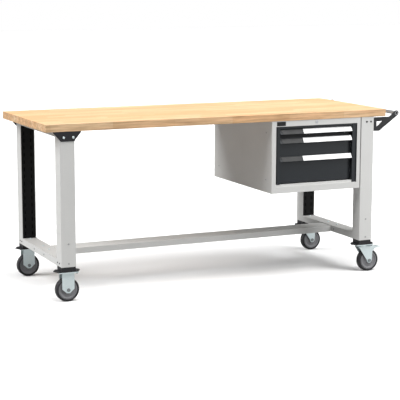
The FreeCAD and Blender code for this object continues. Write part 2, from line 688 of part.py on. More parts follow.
def make_case_front():
    """Front frame: a flat ring with a folded rim around the drawer opening."""
    left, right = "mid + case_left", "mid + case_left + case_width"
    low, high = "case_base", "top_height - top_thick"
    ring = [(left, low), (right, low), (right, high), (left, high)]
    hole = [
        ("mid + hole_left", "hole_low"), ("mid + hole_right", "hole_low"),
        ("mid + hole_right", "hole_high"), ("mid + hole_left", "hole_high"),
    ]
    grown = [
        ("mid + hole_left - case_wall", "hole_low - case_wall"),
        ("mid + hole_right + case_wall", "hole_low - case_wall"),
        ("mid + hole_right + case_wall", "hole_high + case_wall"),
        ("mid + hole_left - case_wall", "hole_high + case_wall"),
    ]
    plate = prism("front_ring", "XZ_Plane", "case_front - case_wall", "case_wall", ring, inner=[hole])
    rim = prism("front_rim", "XZ_Plane", "case_front - rim_deep", "rim_deep", grown, inner=[hole])
    sill = box("front_sill", "mid + hole_left", "-case_front + sill_set", "hole_low",
               "hole_right - hole_left - upright_width", "sill_deep", "sill_high")
    lock = rod("lock_seat", BACK, "mid + lock_x", "-case_front - past", "lock_z", "lock_radius + lock_play",
               "case_wall + 2 * past")
    frame = fuse("front_frame_blank", [plate, rim, sill])
    node(cut("front_frame", frame, [lock]), "cabinet_front_frame")


def make_uprights():
    """Dark strips up both sides of the drawer opening, each with a groove at its outer edge."""
    deep = "upright_front - upright_back"
    left_face = box("upright_face_left", "mid + hole_left + groove_left", "-upright_front",
                    "hole_low + sill_high", "upright_width - groove_left", deep,
                    "hole_high - hole_low - sill_high")
    left_groove = box("upright_groove_left", "mid + hole_left", "-groove_front", "hole_low + sill_high",
                      "groove_left + past", "groove_front - upright_back",
                      "hole_high - hole_low - sill_high")
    right_face = box("upright_face_right", "mid + hole_right - upright_width", "-upright_front",
                     "hole_low", "upright_width - groove_right", deep, "hole_high - hole_low")
    right_liner = box("upright_liner_right", "mid + hole_right - groove_right", "-case_front + liner_set",
                      "hole_low", "groove_right", "case_front - liner_set - upright_back",
                      "hole_high - hole_low")
    header = box("opening_header", "mid + hole_left + upright_width", "-header_front",
                 "hole_high - header_high", "hole_right - hole_left - 2 * upright_width", "header_deep",
                 "header_high")
    pieces = [left_face, left_groove, right_face, right_liner, header]
    node(fuse("upright_frame", pieces), "cabinet_uprights")


def make_name_plate():
    node(box("blank_plate", "mid + name_x", "-case_front - name_thick", "name_z", "name_length",
             "name_thick", "name_high"), "blank_plate")


def make_lock():
    barrel = rod("lock_barrel", BACK, "mid + lock_x", "-case_front - lock_proud", "lock_z", "lock_radius",
                 "lock_length")
    slot = box("key_slot", "mid + lock_x - key_width / 2", "-case_front - lock_proud - past",
               "lock_z - key_high / 2", "key_width", "past + key_deep", "key_high")
    node(cut("lock_plug_cut", barrel, [slot]), "lock_plug")


def make_slides():
    """Fixed slide members: a channel on a spacer at each side of each drawer."""
    pieces = []
    for name in DRAWERS:
        for side_name, side in SIDES:
            wall = "mid + case_left + case_wall"
            inside = "mid + hole_left + upright_width"
            if side > 0:
                wall = "mid + hole_right - upright_width"
                inside = "mid + case_left + case_width - case_wall"
            pieces.append(box("slide_%s_%s" % (name, side_name), wall, "-slide_front",
                              "drawer_%s_rail" % name, "%s - (%s)" % (inside, wall),
                              "slide_front + tray_back", "rail_%s_high" % name))
    node(group("slide_rails_fixed", pieces), "slide_rails_fixed")


def grip_face(top, below, out):
    """A point on the grip's leaning face, so far below its top edge and so far out from it."""
    lean = "grip_out * (%s) / (grip_high - grip_nose)" % below
    return "-front_face - %s - (%s)" % (lean, out), "%s - (%s)" % (top, below)


def make_tray(name):
    deep = "drawer_%s_deep" % name
    left = "mid + hole_left + upright_width + slide_bar + 2 * slide_play"
    right = "mid + hole_right - upright_width - slide_bar - 2 * slide_play"
    floor = "drawer_%s_low + tray_rise" % name
    outer = box("tray_outer_" + name, left, "-tray_front", floor, "%s - (%s)" % (right, left),
                "tray_front + tray_back", deep)
    inner = box("tray_inner_" + name, left + " + tray_wall", "-tray_front + tray_wall",
                floor + " + tray_wall", "%s - (%s) - 2 * tray_wall" % (right, left),
                "tray_front + tray_back - 2 * tray_wall", deep + " + far_past")
    node(cut("tray_" + name, outer, [inner]), "drawer_tray_" + name)


def make_front(name):
    """Sheet front, hollow behind, with its right end stepped back."""
    left = "mid + hole_left + upright_width + front_gap"
    right = "mid + hole_right - upright_width - front_gap"
    floor = "drawer_%s_low + front_gap / 2" % name
    lid = "drawer_%s_high - front_gap / 2" % name
    tall = "%s - (%s)" % (lid, floor)
    shell = box("front_outer_" + name, left, "-front_face", floor, "%s - (%s)" % (right, left),
                "front_deep", tall)
    step = box("front_step_" + name, right + " - front_step", "-front_face - past",
               floor + " - past", "front_step + past", "front_step_deep + past",
               tall + " - front_step_top")
    hollow = box("front_inner_" + name, left + " + front_wall", "-front_face + front_wall",
                 floor + " + front_wall", "%s - (%s) - front_step - 2 * front_wall" % (right, left),
                 "front_deep", tall + " - 2 * front_wall")
    node(cut("front_" + name, shell, [hollow, step]), "drawer_front_" + name)


def make_grip(name):
    """Leaning lip across the front, a label strip on it, and a latch that slides along it."""
    left = "mid + hole_left + upright_width + front_gap"
    right = "mid + label_right + front_gap"
    top = "drawer_%s_high - grip_drop" % name
    foot = "%s - grip_high" % top
    edge = "-front_face - grip_out"
    grip = prism("grip_" + name, "YZ_Plane", left, "%s - (%s)" % (right, left), [
        ("-front_face", top), (edge, foot + " + grip_nose"), (edge + " + grip_wall / 2", foot),
        (edge + " + grip_wall", foot + " + grip_nose"), ("-front_face", top + " - grip_root"),
    ])
    node(grip, "drawer_grip_" + name)
    label = [
        grip_face(top, "label_edge", "0"), grip_face(top, "label_edge", "label_thick"),
        grip_face(top, "grip_high - 2 * grip_nose", "label_thick"),
        grip_face(top, "grip_high - 2 * grip_nose", "0"),
    ]
    start = "mid + label_left"
    node(prism("label_" + name, "YZ_Plane", start, "label_right - label_left", label),
         "drawer_label_" + name)
    latch = [
        grip_face(top, "label_edge", "latch_play"),
        grip_face(top, "latch_edge", "latch_play + latch_thick"),
        grip_face(top, "grip_high - 2 * grip_nose", "latch_play + latch_thick"),
        grip_face(top, "grip_high - grip_nose", "latch_play"),
    ]
    blade = prism("latch_blade_" + name, "YZ_Plane", "mid + latch_left", "latch_right - latch_left", latch)
    shield = prism("latch_shield_" + name, "XZ_Plane", "front_face - latch_cut",
                   "grip_out + 2 * latch_cut", [
        ("mid + latch_left", top), ("mid + latch_left + latch_slant", foot),
        ("mid + latch_right - latch_slant", foot), ("mid + latch_right", top),
    ])
    node(overlap("latch_" + name, [blade, shield]), "drawer_latch_" + name)


def make_middle_rails(name):
    pieces = []
    for side_name, x in (("left", "mid + hole_left + upright_width + slide_play"),
                         ("right", "mid + hole_right - upright_width - slide_play - slide_bar")):
        pieces.append(box("middle_%s_%s" % (name, side_name), x, "-slide_front + slide_set",
                          "drawer_%s_rail + slide_lip" % name, "slide_bar",
                          "slide_front + tray_back - slide_set",
                          "rail_%s_high - 2 * slide_lip" % name))
    node(group("slide_middle_" + name, pieces), "slide_rails_middle_" + name)


# ---------- push handle ----------

def make_handle_plate(tag, end):
    """Plate with a triangular window, rising to the tube, and a flange on the leg's side."""
    leg_face = "mid + leg_x + leg_width / 2"
    outline = [
        (leg_face, "handle_low"), (leg_face + " + handle_foot", "handle_low"),
        ("mid + handle_x + handle_eye * eye_across", "handle_z - handle_eye * eye_up"),
        ("mid + handle_x - handle_eye * eye_across", "handle_z + handle_eye * eye_up"),
        (leg_face + " + handle_shoulder", "handle_top"), (leg_face, "handle_top"),
    ]
    window = [
        (leg_face + " + window_left", "window_low"), (leg_face + " + window_right", "window_top"),
        (leg_face + " + window_left", "window_top"),
    ]
    middle = "%d * handle_y" % end
    start = "-(%s) - handle_thick / 2" % middle
    plate = prism("handle_blade_" + tag, "XZ_Plane", start, "handle_thick", outline, inner=[window])
    low_y = middle if end < 0 else middle + " - flange_deep"
    flange = box("handle_flange_" + tag, leg_face, low_y, "handle_low", "handle_thick", "flange_deep",
                 "handle_top - handle_low")
    eye = rod("handle_eye_" + tag, BACK, "mid + handle_x", middle + " - handle_thick / 2", "handle_z",
              "handle_eye", "handle_thick")
    seat = rod("handle_seat_" + tag, BACK, "mid + handle_x", middle + " - handle_thick", "handle_z",
               "tube_radius", "2 * handle_thick")
    return cut("handle_plate_" + tag, fuse("handle_blank_" + tag, [plate, flange, eye]), [seat])


def make_handle_tube():
    """Push tube between the plates, with a plug in each end."""
    reach = "handle_y + handle_thick / 2 + tube_proud"
    bore = "tube_radius - tube_wall"
    outer = rod("tube_outer", BACK, "mid + handle_x", "-(%s)" % reach, "handle_z", "tube_radius",
                "2 * (%s)" % reach)
    inner = rod("tube_inner", BACK, "mid + handle_x", "-(%s) - past" % reach, "handle_z", bore,
                "2 * (%s) + 2 * past" % reach)
    pieces = [cut("tube", outer, [inner])]
    for name, end in ENDS:
        pieces.append(rod("tube_plug_" + name, BACK * -end, "mid + handle_x", "%d * (%s)" % (end, reach),
                          "handle_z", bore, "tube_plug"))
    node(group("push_tube", pieces), "push_handle_tube")


# ---------- build ----------

def build():
    make_worktop()
    for side_name, side in SIDES:
        inserts = []
        for end_name, end in ENDS:
            make_leg("leg_%s_%s" % (end_name, side_name), side, end)
            inserts.append(make_insert("insert_%s_%s" % (end_name, side_name), side, end))
        node(group("leg_inserts_" + side_name, inserts), "leg_inserts_" + side_name)
        node(make_crossbar("lower_crossbar_" + side_name, side, "(leg_base + bar_high)", "bar_high"),
             "lower_crossbar_" + side_name)
    uppers = []
    for side_name, side in SIDES:
        uppers.append(make_crossbar("upper_bar_" + side_name, side, "(top_height - top_thick)",
                                    "high_bar_high"))
    node(group("upper_crossbars", uppers), "upper_crossbars")
    make_stretcher()
    make_stretcher_brackets()
    make_gussets()
    make_frame_bolts()
    make_adapters()
    make_swivel_plates()
    make_caster_bolts()
    fixed_axles = []
    for end_name, end in ENDS:
        make_fixed_caster("%s_left" % end_name, end)
        fixed_axles.append(axle_piece("%s_left" % end_name, caster_centre(-1), "%d * caster_y" % end))
        make_swivel_caster("%s_right" % end_name, end)
        for side_name, side in SIDES:
            make_wheel("%s_%s" % (end_name, side_name), side, end)
    node(group("fixed_axles", fixed_axles), "fixed_axles")
    make_case()
    make_case_front()
    make_uprights()
    make_name_plate()
    make_lock()
    make_slides()
    for name in DRAWERS:
        make_tray(name)
        make_front(name)
        make_grip(name)
        make_middle_rails(name)
    plates = [make_handle_plate(end_name, end) for end_name, end in ENDS]
    node(group("push_handle_plates", plates), "push_handle_plates")
    make_handle_tube()
    doc.recompute()


def check():
    for item in doc.Objects:
        if "Invalid" in item.State or "Error" in item.State:
            raise RuntimeError("%s failed: %s" % (item.Name, item.State))
    for item in NODES:
        if item.Shape.isNull() or not item.Shape.isValid() or not item.Shape.Solids:
            raise RuntimeError(item.Label + " has no valid solid")


def write():
    os.makedirs("parts", exist_ok=True)
    for item in NODES:
        item.Shape.exportStep("parts/%s.step" % item.Label)
    whole = Part.makeCompound([item.Shape for item in NODES]).BoundBox
    print(len(NODES), "nodes,", "X %.1f %.1f Y %.1f %.1f Z %.1f %.1f" % (
        whole.XMin, whole.XMax, whole.YMin, whole.YMax, whole.ZMin, whole.ZMax))


build()
check()
write()
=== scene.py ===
import json
import math

import bmesh
import bpy
from mathutils import Matrix, Vector


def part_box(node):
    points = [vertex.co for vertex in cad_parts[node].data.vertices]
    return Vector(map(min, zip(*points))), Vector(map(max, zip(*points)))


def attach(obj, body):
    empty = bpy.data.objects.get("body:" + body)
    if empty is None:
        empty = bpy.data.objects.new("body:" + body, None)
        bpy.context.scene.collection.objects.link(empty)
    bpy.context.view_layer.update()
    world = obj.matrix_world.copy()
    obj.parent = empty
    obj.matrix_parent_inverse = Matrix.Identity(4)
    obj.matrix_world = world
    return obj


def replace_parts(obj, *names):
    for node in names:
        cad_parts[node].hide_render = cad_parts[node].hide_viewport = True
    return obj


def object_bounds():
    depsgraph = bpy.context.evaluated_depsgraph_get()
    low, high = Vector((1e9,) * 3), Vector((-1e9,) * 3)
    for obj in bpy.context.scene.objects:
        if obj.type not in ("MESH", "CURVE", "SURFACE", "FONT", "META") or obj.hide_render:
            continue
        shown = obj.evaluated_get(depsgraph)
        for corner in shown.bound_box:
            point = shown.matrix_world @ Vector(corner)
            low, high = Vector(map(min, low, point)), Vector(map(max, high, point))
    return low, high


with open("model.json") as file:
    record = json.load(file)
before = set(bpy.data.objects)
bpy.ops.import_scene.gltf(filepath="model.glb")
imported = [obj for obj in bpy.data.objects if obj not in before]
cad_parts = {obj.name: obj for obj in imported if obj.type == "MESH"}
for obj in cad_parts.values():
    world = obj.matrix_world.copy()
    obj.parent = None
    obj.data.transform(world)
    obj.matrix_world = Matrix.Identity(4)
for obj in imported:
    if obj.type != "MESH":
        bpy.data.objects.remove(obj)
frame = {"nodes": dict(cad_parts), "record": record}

CAD_BOX = [list(corner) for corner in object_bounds()]

NODES = frame["nodes"]
SIDES = ("left", "right")
ENDS = ("front", "rear")
DRAWERS = ("top", "middle", "bottom")


# ---------- shader helpers ----------

class Shader:
    """A node material, built one node at a time."""

    def __init__(self, name):
        self.material = bpy.data.materials.new(name)
        self.material.use_nodes = True
        self.tree = self.material.node_tree
        self.bsdf = self.tree.nodes["Principled BSDF"]
        self.place = self.tree.nodes.new("ShaderNodeTexCoord").outputs["Object"]

    def add(self, kind, settings=(), **inputs):
        node = self.tree.nodes.new(kind)
        for field, value in dict(settings).items():
            setattr(node, field, value)
        for label, value in inputs.items():
            self.feed(node.inputs[label.replace("_", " ")], value)
        return node

    def feed(self, socket, value):
        if isinstance(value, bpy.types.NodeSocket):
            self.tree.links.new(value, socket)
        else:
            socket.default_value = value

    def stretched(self, scale):
        node = self.tree.nodes.new("ShaderNodeMapping")
        self.feed(node.inputs["Vector"], self.place)
        node.inputs["Scale"].default_value = scale
        return node.outputs["Vector"]

    def noise(self, scale, detail=3, rough=0.5, stretch=None):
        vector = self.stretched(stretch) if stretch else self.place
        return self.add("ShaderNodeTexNoise", Vector=vector, Scale=scale, Detail=detail,
                        Roughness=rough).outputs["Fac"]

    def ramp(self, value, low, high, start, end):
        """Map a value between two limits onto two numbers."""
        node = self.add("ShaderNodeMapRange", Value=value)
        for index, number in enumerate((low, high, start, end), start=1):
            node.inputs[index].default_value = number
        return node.outputs["Result"]

    def mix(self, share, first, second, blend="MIX"):
        node = self.tree.nodes.new("ShaderNodeMix")
        node.data_type = "RGBA"
        node.blend_type = blend
        self.feed(node.inputs[0], share)
        self.feed(node.inputs[6], first)
        self.feed(node.inputs[7], second)
        return node.outputs[2]

    def bump(self, height, strength, distance=0.001, under=None):
        node = self.add("ShaderNodeBump", Height=height, Strength=strength, Distance=distance)
        if under:
            self.feed(node.inputs["Normal"], under)
        return node.outputs["Normal"]

    def set(self, **inputs):
        for label, value in inputs.items():
            self.feed(self.bsdf.inputs[label.replace("_", " ")], value)


def colour(red, green, blue):
    """An sRGB colour, 0 to 255, as linear values."""
    parts = []
    for part in (red, green, blue):
        share = part / 255
        parts.append(share / 12.92 if share <= 0.04045 else ((share + 0.055) / 1.055) ** 2.4)
    return (*parts, 1.0)


# ---------- materials ----------

TOP_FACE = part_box("worktop")[1][2]
# Painted shade: the sides under the top face are darkened, in varying bands, so that they look less lit
# than the top.
EDGE_SHADE_TINTS = ((0.96, 0.97, 1.0, 1), (0.56, 0.54, 0.52, 1))

def wood():
    """Edge-glued beech: staves of their own tone, long grain, short dark flecks, and sides darkened with
    painted shade.
    """
    shader = Shader("beech_staves")
    layout = {"offset": 0.37, "offset_frequency": 2, "squash_frequency": 3, "squash": 0.74}
    staves = shader.add("ShaderNodeTexBrick", layout, Vector=shader.place, Scale=1.0, Mortar_Size=0.0004,
                        Mortar_Smooth=0.3, Bias=0.0, Brick_Width=0.46, Row_Height=0.0435)
    staves.inputs["Color1"].default_value = colour(242, 212, 170)
    staves.inputs["Color2"].default_value = colour(224, 180, 131)
    staves.inputs["Mortar"].default_value = colour(180, 134, 88)
    warm = shader.noise(1.0, 2, 0.5, stretch=(2.6, 23, 23))
    tinted = shader.mix(shader.ramp(warm, 0.42, 0.72, 0, 0.6), staves.outputs["Color"],
                        colour(228, 172, 126))
    grain = shader.noise(1.0, 5, 0.62, stretch=(3.5, 260, 260))
    grained = shader.mix(shader.ramp(grain, 0.3, 0.75, 0.0, 0.5), tinted, colour(217, 171, 123))
    fleck = shader.noise(1.0, 2, 0.5, stretch=(85, 1100, 1100))
    flecked = shader.mix(shader.ramp(fleck, 0.62, 0.72, 0, 0.35), grained, colour(184, 134, 86))
    height = shader.add("ShaderNodeSeparateXYZ", Vector=shader.place).outputs["Z"]
    # Painted shade: everything under the top face takes the darker side tint.
    below = shader.ramp(height, TOP_FACE - 0.0014, TOP_FACE - 0.0004, 1, 0)
    band = shader.noise(1.0, 3, 0.55, stretch=(5, 70, 70))
    deep = shader.mix(shader.ramp(band, 0.35, 0.68, 0, 1), EDGE_SHADE_TINTS[0], EDGE_SHADE_TINTS[1])
    side_shaded = shader.mix(below, flecked, shader.mix(1.0, flecked, deep, "MULTIPLY"))
    smudge = shader.noise(3.2, 4, 0.6)
    shader.set(Base_Color=side_shaded, Roughness=shader.ramp(smudge, 0.3, 0.7, 0.42, 0.56),
               Specular_IOR_Level=0.3, Coat_Weight=0.1, Coat_Roughness=0.3)
    shader.set(Normal=shader.bump(grain, 0.12, 0.0006, shader.bump(fleck, 0.06, 0.0004)))
    return shader.material


def powder_coat(name, base, dull, rough=0.45, shine=0.35, grain=900):
    """Baked powder paint: fine orange peel, faint cloudiness, rubbed and dusty patches."""
    shader = Shader(name)
    cloud = shader.noise(5.0, 4, 0.6)
    peel = shader.noise(grain, 2, 0.5)
    rubs = shader.noise(1.0, 4, 0.65, stretch=(60, 60, 9))
    tone = shader.mix(shader.ramp(cloud, 0.35, 0.7, 0, 0.5), base, dull)
    marks = shader.ramp(rubs, 0.68, 0.8, 0, 0.25)
    shader.set(Base_Color=shader.mix(marks, tone, dull),
               Roughness=shader.ramp(cloud, 0.3, 0.7, rough - 0.06, rough + 0.1),
               Specular_IOR_Level=shine, Normal=shader.bump(peel, 0.16, 0.0004))
    return shader.material


def zinc(name, base, dull):
    """Bright zinc plate: soft spangle and faint drawing lines."""
    shader = Shader(name)
    spangle = shader.add("ShaderNodeTexVoronoi", Vector=shader.place, Scale=420.0).outputs["Color"]
    cells = shader.add("ShaderNodeSeparateColor", Color=spangle).outputs[0]
    lines = shader.noise(1.0, 3, 0.6, stretch=(900, 900, 30))
    shader.set(Base_Color=shader.mix(cells, base, dull), Metallic=0.6,
               Roughness=shader.ramp(lines, 0.3, 0.7, 0.3, 0.46), Normal=shader.bump(lines, 0.08, 0.0003))
    return shader.material


def rubber():
    """Tyre rubber: scuffed tread, dusty patches and fine grit."""
    shader = Shader("tyre_rubber")
    scuff = shader.noise(60.0, 5, 0.65)
    dust = shader.noise(9.0, 3, 0.6)
    grit = shader.noise(1400.0, 2, 0.5)
    base = shader.mix(shader.ramp(scuff, 0.4, 0.7, 0, 0.6), colour(40, 40, 43), colour(66, 65, 66))
    shader.set(Base_Color=shader.mix(shader.ramp(dust, 0.5, 0.75, 0, 0.4), base, colour(92, 90, 90)),
               Roughness=shader.ramp(scuff, 0.3, 0.7, 0.55, 0.75), Specular_IOR_Level=0.35,
               Normal=shader.bump(grit, 0.25, 0.0004, shader.bump(scuff, 0.15, 0.0006)))
    return shader.material


def plastic(name, base, worn, rough=0.5):
    """Moulded plastic with a fine spark-eroded grain."""
    shader = Shader(name)
    grain = shader.add("ShaderNodeTexVoronoi", Vector=shader.place, Scale=1500.0).outputs["Distance"]
    wear = shader.noise(35.0, 4, 0.6)
    shader.set(Base_Color=shader.mix(shader.ramp(wear, 0.45, 0.75, 0, 0.5), base, worn),
               Roughness=shader.ramp(wear, 0.3, 0.7, rough - 0.08, rough + 0.1),
               Specular_IOR_Level=0.4, Normal=shader.bump(grain, 0.12, 0.0002))
    return shader.material


def card():
    """Blank white label card behind a clear strip."""
    shader = Shader("label_card")
    fibre = shader.noise(1.0, 3, 0.6, stretch=(250, 700, 700))
    shade = shader.mix(shader.ramp(fibre, 0.4, 0.7, 0, 0.5), colour(255, 255, 255), colour(244, 245, 246))
    shader.set(Base_Color=shade, Roughness=shader.ramp(fibre, 0.3, 0.7, 0.3, 0.42), Coat_Weight=0.4,
               Coat_Roughness=0.12, Normal=shader.bump(fibre, 0.03, 0.0002))
    return shader.material


def chrome():
    shader = Shader("satin_chrome")
    turned = shader.noise(1.0, 3, 0.6, stretch=(700, 25, 700))
    smear = shader.noise(14.0, 3, 0.6)
    shader.set(Base_Color=shader.mix(shader.ramp(smear, 0.4, 0.7, 0, 0.6), colour(226, 228, 232),
                                     colour(204, 208, 213)),
               Metallic=0.9, Roughness=shader.ramp(turned, 0.3, 0.7, 0.2, 0.34),
               Normal=shader.bump(turned, 0.05, 0.0002))
    return shader.material


MATERIALS = {
    "beech_top": wood(),
    "light_grey_paint": powder_coat("light_grey_coat", colour(205, 205, 203), colour(198, 198, 196)),
    "anthracite_paint": powder_coat("anthracite_coat", colour(36, 40, 44), colour(32, 35, 38), 0.42),
    "tray_grey_paint": powder_coat("tray_coat", colour(48, 50, 53), colour(42, 43, 46), 0.5),
    "black_paint": powder_coat("black_coat", colour(39, 39, 42), colour(34, 34, 36), 0.4),
    "zinc_plate": zinc("bright_zinc", colour(234, 246, 247), colour(224, 237, 239)),
    "slide_steel": zinc("slide_zinc", colour(190, 192, 194), colour(170, 172, 175)),
    "tyre_rubber": rubber(),
    "wheel_core": plastic("wheel_core_plastic", colour(124, 124, 127), colour(140, 140, 143), 0.5),
    "black_plastic": plastic("latch_plastic", colour(33, 34, 35), colour(43, 44, 45), 0.4),
    "label_white": card(),
    "handle_chrome": chrome(),
}

# Looks of single nodes that are darker than the rest of their slot.
# Painted shadow: a near-black sheet that stands in for the dark seen through the inserts' slots.
LINER_SHADOW_BLACK = powder_coat("liner_painted_shadow_coat", colour(4, 4, 4), colour(3, 3, 3), 0.6, 0.05)
# Painted shadow: the top drawer's anthracite front in near-black, for the shade under its grip.
TOP_FRONT_SHADOW_BLACK = powder_coat("top_front_painted_shadow_coat", colour(20, 21, 23), colour(16, 17, 18), 0.5, 0.2)
PLATE_BLACK = plastic("plate_plastic", colour(12, 12, 13), colour(18, 18, 19), 0.35)
AXLE_STEEL = zinc("axle_zinc", colour(150, 156, 158), colour(128, 133, 136))
BOLT_GREY = powder_coat("bolt_grey_coat", colour(166, 167, 167), colour(150, 151, 151), 0.38)
BOLT_BLACK = zinc("bolt_black_oxide", colour(58, 59, 62), colour(44, 45, 47))
# The leg inserts are black parts, painted darker still as shade inside the legs.
INSERT_BLACK_AND_SHADE = powder_coat("insert_black_and_shade_coat", colour(11, 11, 12), colour(8, 8, 9), 0.5, 0.2)
SPECIAL = {
    "leg_inserts_left": INSERT_BLACK_AND_SHADE, "leg_inserts_right": INSERT_BLACK_AND_SHADE, "drawer_front_top": TOP_FRONT_SHADOW_BLACK,
    "blank_plate": PLATE_BLACK, "fixed_axles": AXLE_STEEL, "swivel_axle_front_right": AXLE_STEEL,
    "swivel_axle_rear_right": AXLE_STEEL,
}


def dress(piece, material):
    piece.data.materials.clear()
    piece.data.materials.append(material)


def dress_frame():
    """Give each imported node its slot's material, or its own."""
    for entry in frame["record"]["subparts"]:
        name = entry["node"]
        dress(NODES[name], SPECIAL.get(name, MATERIALS[entry["material_slot"]]))


def soften(names, width):
    """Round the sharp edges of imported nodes."""
    for name in names:
        edge = NODES[name].modifiers.new("edges", "BEVEL")
        edge.width = width
        edge.segments = 2
        edge.limit_method = "ANGLE"
        edge.angle_limit = math.radians(35)
        edge.harden_normals = True


# ---------- pieces ----------

# Metres. The first three are the radius and height of the crossbars' screws and their level above
# the crossbar's underside; REACH is how far the screws stand outside the stretcher's sides.
SCREW_RADIUS = 0.0045
SCREW_HEIGHT = 0.002
SCREW_LEVEL = 0.017
SCREW_REACH = 0.022
# A rivet's rings: radius, height, and not a hexagon.
RIVET_RINGS = [
    (0.0045, 0, False), (0.0042, 0.0006, False), (0.003, 0.0014, False), (0.001, 0.0018, False),
]
RIVET_ROWS = (-0.298, 0.3)
RIVET_ABOVE_BASE = 0.071
RIVET_BELOW_TOP = 0.067
# A tube cap's rings, from inside the tube to its dished face.
CAP_RINGS = [
    (0.0083, -0.004, False), (0.0083, 0.0002, False), (0.0076, 0.0006, False),
    (0.0062, 0.0006, False), (0.005, 0.0002, False),
]
# Insert liners: the inserts' wall and their set-back from the leg's open side, then the liner's fold,
# its ends' clearance from the insert's foot and top, and its sheet.
INSERT_WALL = 0.0021
INSERT_SET = 0.004
LINER_FOLD = 0.018
LINER_LOW = 0.004
LINER_TOP = 0.012
LINER_SHEET = 0.0008

def add_piece(name, mesh, body, slot, material=None):
    """A new object from a bmesh, riding on a body and finished from a slot."""
    data = bpy.data.meshes.new(name)
    mesh.to_mesh(data)
    mesh.free()
    piece = bpy.data.objects.new(name, data)
    bpy.context.collection.objects.link(piece)
    dress(piece, material or MATERIALS[slot])
    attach(piece, body)
    return piece


def turned(mesh, place, axis, rings, segments=24):
    """A closed turned form. A ring is a radius, a height along the axis, and whether it is a hexagon."""
    turn = Vector(axis).to_track_quat("Z", "Y")
    loops = []
    for radius, height, six_sided in rings:
        loop = []
        for step in range(segments):
            angle = 2 * math.pi * step / segments
            reach = radius
            if six_sided:
                reach *= math.cos(math.pi / 6) / math.cos(angle % (math.pi / 3) - math.pi / 6)
            spot = Vector((reach * math.cos(angle), reach * math.sin(angle), height))
            loop.append(mesh.verts.new(Vector(place) + turn @ spot))
        loops.append(loop)
    for lower, upper in zip(loops, loops[1:]):
        for step in range(segments):
            follower = (step + 1) % segments
            mesh.faces.new((lower[step], lower[follower], upper[follower], upper[step]))
    mesh.faces.new(list(reversed(loops[0])))
    mesh.faces.new(loops[-1])


def bolt_head(mesh, place, axis, radius, height):
    """Button head with a hexagon socket."""
    turned(mesh, place, axis, [
        (radius, 0, False), (radius, 0.35 * height, False), (0.93 * radius, 0.66 * height, False),
        (0.74 * radius, 0.92 * height, False), (0.52 * radius, height, False),
        (0.47 * radius, 0.96 * height, True), (0.44 * radius, 0.4 * height, True),
    ])


def nut(mesh, place, axis, radius, height):
    """Hexagon nut with a chamfered face and the end of its bolt."""
    turned(mesh, place, axis, [
        (radius, 0, True), (radius, 0.82 * height, True), (0.88 * radius, height, True),
        (0.56 * radius, height, False), (0.54 * radius, 1.14 * height, False),
        (0.44 * radius, 1.24 * height, False),
    ])


def islands_of(mesh):
    """The separate shells of a bmesh, each a list of vertices."""
    left = set(mesh.verts)
    while left:
        start = left.pop()
        island = [start]
        front = [start]
        while front:
            for edge in front.pop().link_edges:
                for vertex in edge.verts:
                    if vertex in left:
                        left.remove(vertex)
                        island.append(vertex)
                        front.append(vertex)
        yield island


def outward(along, centre):
    """Unit axis of a head that is thinnest along an axis: up, or away from the bench's middle."""
    middle = (CAD_BOX[0][0] + CAD_BOX[1][0]) / 2
    axis = Vector((0, 0, 0))
    axis[along] = 1
    if along == 0 and centre.x <= middle or along == 1 and centre.y <= 0:
        axis[along] = -1
    return axis


def heads_of(node):
    """Foot, outward axis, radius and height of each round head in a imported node."""
    mesh = bmesh.new()
    mesh.from_mesh(NODES[node].data)
    bmesh.ops.remove_doubles(mesh, verts=mesh.verts, dist=0.00002)
    heads = []
    for island in islands_of(mesh):
        low = Vector([min(vertex.co[axis] for vertex in island) for axis in range(3)])
        high = Vector([max(vertex.co[axis] for vertex in island) for axis in range(3)])
        size = high - low
        along = min(range(3), key=lambda axis: size[axis])
        centre = (low + high) / 2
        axis = outward(along, centre)
        heads.append((centre - axis * size[along] / 2, axis, max(size) / 2, size[along]))
    mesh.free()
    return sorted(heads, key=lambda head: tuple(round(number, 4) for number in head[0]))


def add_frame_bolts():
    """Socket screws over the frame's bolts: bright, painted or black by where they sit."""
    lots = {"bright": bmesh.new(), "painted": bmesh.new(), "black": bmesh.new()}
    for foot, axis, radius, height in heads_of("frame_bolts"):
        on_leg_face = abs(axis.y) > 0.5
        at_top = foot.z > 0.8
        if abs(axis.x) > 0.5 or (on_leg_face and at_top and foot.x > 0):
            lot = "black"
        elif on_leg_face and not at_top:
            lot = "painted"
        else:
            lot = "bright"
        bolt_head(lots[lot], foot, axis, radius, height)
    looks = {"bright": MATERIALS["zinc_plate"], "painted": BOLT_GREY, "black": BOLT_BLACK}
    for lot, mesh in lots.items():
        piece = add_piece("frame_screws_" + lot, mesh, "bench_frame", "zinc_plate", looks[lot])
        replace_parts(piece, "frame_bolts")


def add_caster_nuts():
    mesh = bmesh.new()
    for foot, axis, radius, height in heads_of("caster_bolts"):
        nut(mesh, foot + axis * height, -axis, radius, height)
    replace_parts(add_piece("caster_nuts", mesh, "bench_frame", "zinc_plate", AXLE_STEEL), "caster_bolts")


def add_joint_screws():
    """Screws through the lower crossbars that hold the stretcher's brackets."""
    mesh = bmesh.new()
    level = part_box("lower_crossbar_left")[0][2] + SCREW_LEVEL
    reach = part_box("stretcher")[1][1] + SCREW_REACH
    for side in SIDES:
        low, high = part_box("lower_crossbar_" + side)
        for face, axis in ((low[0], (-1, 0, 0)), (high[0], (1, 0, 0))):
            for y in (-reach, reach):
                bolt_head(mesh, (face, y, level), axis, SCREW_RADIUS, SCREW_HEIGHT)
    add_piece("stretcher_screws", mesh, "bench_frame", "zinc_plate", AXLE_STEEL)


def add_case_rivets():
    """Domed rivets on the cabinet's sides."""
    mesh = bmesh.new()
    low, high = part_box("cabinet_shell")
    for face, axis in ((low[0], (-1, 0, 0)), (high[0], (1, 0, 0))):
        for y in RIVET_ROWS:
            for z in (low[2] + RIVET_ABOVE_BASE, high[2] - RIVET_BELOW_TOP):
                turned(mesh, (face, y, z), axis, RIVET_RINGS, 16)
    add_piece("case_rivets", mesh, "bench_frame", "light_grey_paint", BOLT_GREY)


